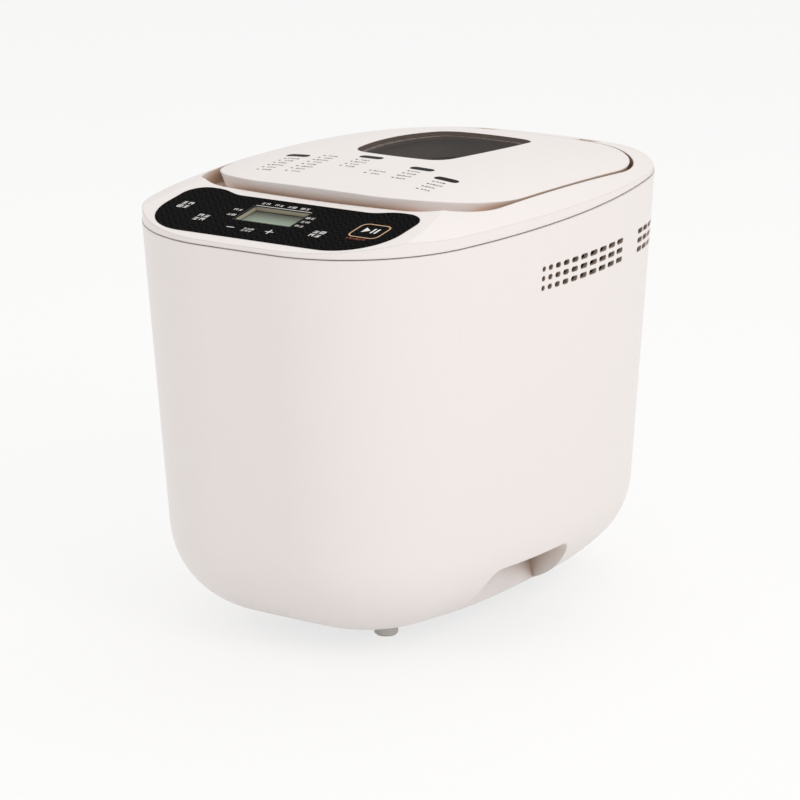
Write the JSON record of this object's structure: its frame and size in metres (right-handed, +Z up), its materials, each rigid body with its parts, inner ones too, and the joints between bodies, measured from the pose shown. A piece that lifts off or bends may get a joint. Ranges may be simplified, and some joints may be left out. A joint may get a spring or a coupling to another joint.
{
  "type": "bread machine",
  "caption": "Free-standing bread machine: tapered white tub, crowned hinged lid with window, sloping key panel, lift-out pan with kneading paddle and belt drive.",
  "frame": {"origin": "on the floor, under the middle of the tub", "axes": "+Z up, the key panel faces -Y, +X is the machine's right"},
  "size_m": [0.225, 0.3009, 0.2507],
  "materials": {
    "white_shell": "warm white satin plastic",
    "black_film": "black gloss film with a fine woven pattern",
    "lcd_lens": "clear lens",
    "lcd_glass": "grey-green display",
    "circuit_board": "green board",
    "key_white": "moulded plungers",
    "switch_black": "small switches",
    "smoked_glass": "smoked pane",
    "seal_rubber": "silicone seal",
    "liner_grey": "heat-proof inner lid",
    "steel_screw": "plated screws",
    "oven_sheet": "aluminised sheet",
    "element_tube": "sheathed heating tube",
    "pan_coat": "dark non-stick coat",
    "chassis_steel": "zinc-plated sheet",
    "drive_plastic": "black nylon",
    "belt_rubber": "ribbed belt",
    "motor_iron": "motor case",
    "bearing_brass": "sintered bush",
    "foot_white": "white rubber feet"
  },
  "bodies": {
    "machine": {"outer_housing": "white_shell", "top_deck": "white_shell", "base_cover": "white_shell", "feet": "foot_white", "base_screws": "steel_screw", "deck_screws": "steel_screw", "control_film": "black_film", "lcd_window": "lcd_lens", "lcd_module": "lcd_glass", "control_board": "circuit_board", "tact_switches": "switch_black", "board_screws": "steel_screw", "hinge_pins": "steel_screw", "oven_chamber": "oven_sheet", "heating_element": "element_tube", "element_clamps": "steel_screw", "temperature_sensor": "steel_screw", "thermal_fuse": "switch_black", "pan_seat": "chassis_steel", "chassis_plate": "chassis_steel", "chassis_screws": "steel_screw", "drive_bearing": "bearing_brass", "drive_belt": "belt_rubber", "motor_body": "motor_iron", "motor_mounts": "belt_rubber", "motor_capacitor": "switch_black", "power_board": "circuit_board", "cord_gland": "drive_plastic"},
    "lid": {"lid_shell": "white_shell", "lid_window": "smoked_glass", "window_gasket": "seal_rubber", "lid_liner": "liner_grey", "lid_screws": "steel_screw"},
    "pan": {"bread_pan": "pan_coat", "pan_base_ring": "oven_sheet", "pan_lugs": "oven_sheet", "pan_bearing": "bearing_brass", "shaft_seal": "belt_rubber"},
    "handle": {"pan_handle": "steel_screw"},
    "pan_rotor": {"pan_shaft": "steel_screw", "pan_coupling": "chassis_steel", "shaft_clip": "steel_screw"},
    "paddle": {"kneading_paddle": "pan_coat"},
    "drive_rotor": {"drive_shaft": "steel_screw", "drive_coupling": "chassis_steel", "drive_pulley": "drive_plastic"},
    "motor_rotor": {"motor_shaft": "steel_screw", "motor_pulley": "drive_plastic"},
    "menu_key_body": {"menu_key": "key_white"},
    "weight_key_body": {"weight_key": "key_white"},
    "minus_key_body": {"minus_key": "key_white"},
    "plus_key_body": {"plus_key": "key_white"},
    "colour_key_body": {"colour_key": "key_white"},
    "start_key_body": {"start_key": "key_white"}
  },
  "joints": [
    {"name": "lid_hinge", "type": "hinge", "parent": "machine", "child": "lid", "pos_m": [0, 0.133, 0.234], "axis": [-1, 0, 0], "range_deg": [0, 80]},
    {"name": "pan_lift", "type": "slide", "parent": "machine", "child": "pan", "axis": [0, 0, 1], "range_m": [0, 0.012]},
    {"name": "handle_swing", "type": "hinge", "parent": "pan", "child": "handle", "pos_m": [0, 0.03, 0.178], "axis": [1, 0, 0], "range_deg": [0, 20]},
    {"name": "drive_spin", "type": "hinge", "parent": "machine", "child": "drive_rotor", "pos_m": [0, 0.03, 0.06], "axis": [0, 0, 1], "continuous": true},
    {"name": "pan_spin", "type": "hinge", "parent": "pan", "child": "pan_rotor", "pos_m": [0, 0.03, 0.1], "axis": [0, 0, 1], "continuous": true},
    {"name": "motor_spin", "type": "hinge", "parent": "machine", "child": "motor_rotor", "pos_m": [0, -0.09, 0.05], "axis": [0, 0, 1], "continuous": true},
    {"name": "paddle_lift", "type": "slide", "parent": "pan_rotor", "child": "paddle", "axis": [0, 0, 1], "range_m": [0, 0.05]},
    {"name": "menu_press", "type": "slide", "parent": "machine", "child": "menu_key_body", "axis": [0, 0.1874, -0.9823], "range_m": [0, 0.0003], "stiffness_N_per_m": 400},
    {"name": "weight_press", "type": "slide", "parent": "machine", "child": "weight_key_body", "axis": [0, 0.1874, -0.9823], "range_m": [0, 0.0003], "stiffness_N_per_m": 400},
    {"name": "minus_press", "type": "slide", "parent": "machine", "child": "minus_key_body", "axis": [0, 0.1874, -0.9823], "range_m": [0, 0.0003], "stiffness_N_per_m": 400},
    {"name": "plus_press", "type": "slide", "parent": "machine", "child": "plus_key_body", "axis": [0, 0.1874, -0.9823], "range_m": [0, 0.0003], "stiffness_N_per_m": 400},
    {"name": "colour_press", "type": "slide", "parent": "machine", "child": "colour_key_body", "axis": [0, 0.1874, -0.9823], "range_m": [0, 0.0003], "stiffness_N_per_m": 400},
    {"name": "start_press", "type": "slide", "parent": "machine", "child": "start_key_body", "axis": [0, 0.1874, -0.9823], "range_m": [0, 0.0003], "stiffness_N_per_m": 400}
  ],
  "couplings": [
    {"joint": "pan_spin", "follows": "drive_spin", "ratio": 1},
    {"joint": "motor_spin", "follows": "drive_spin", "ratio": 5.2}
  ]
}
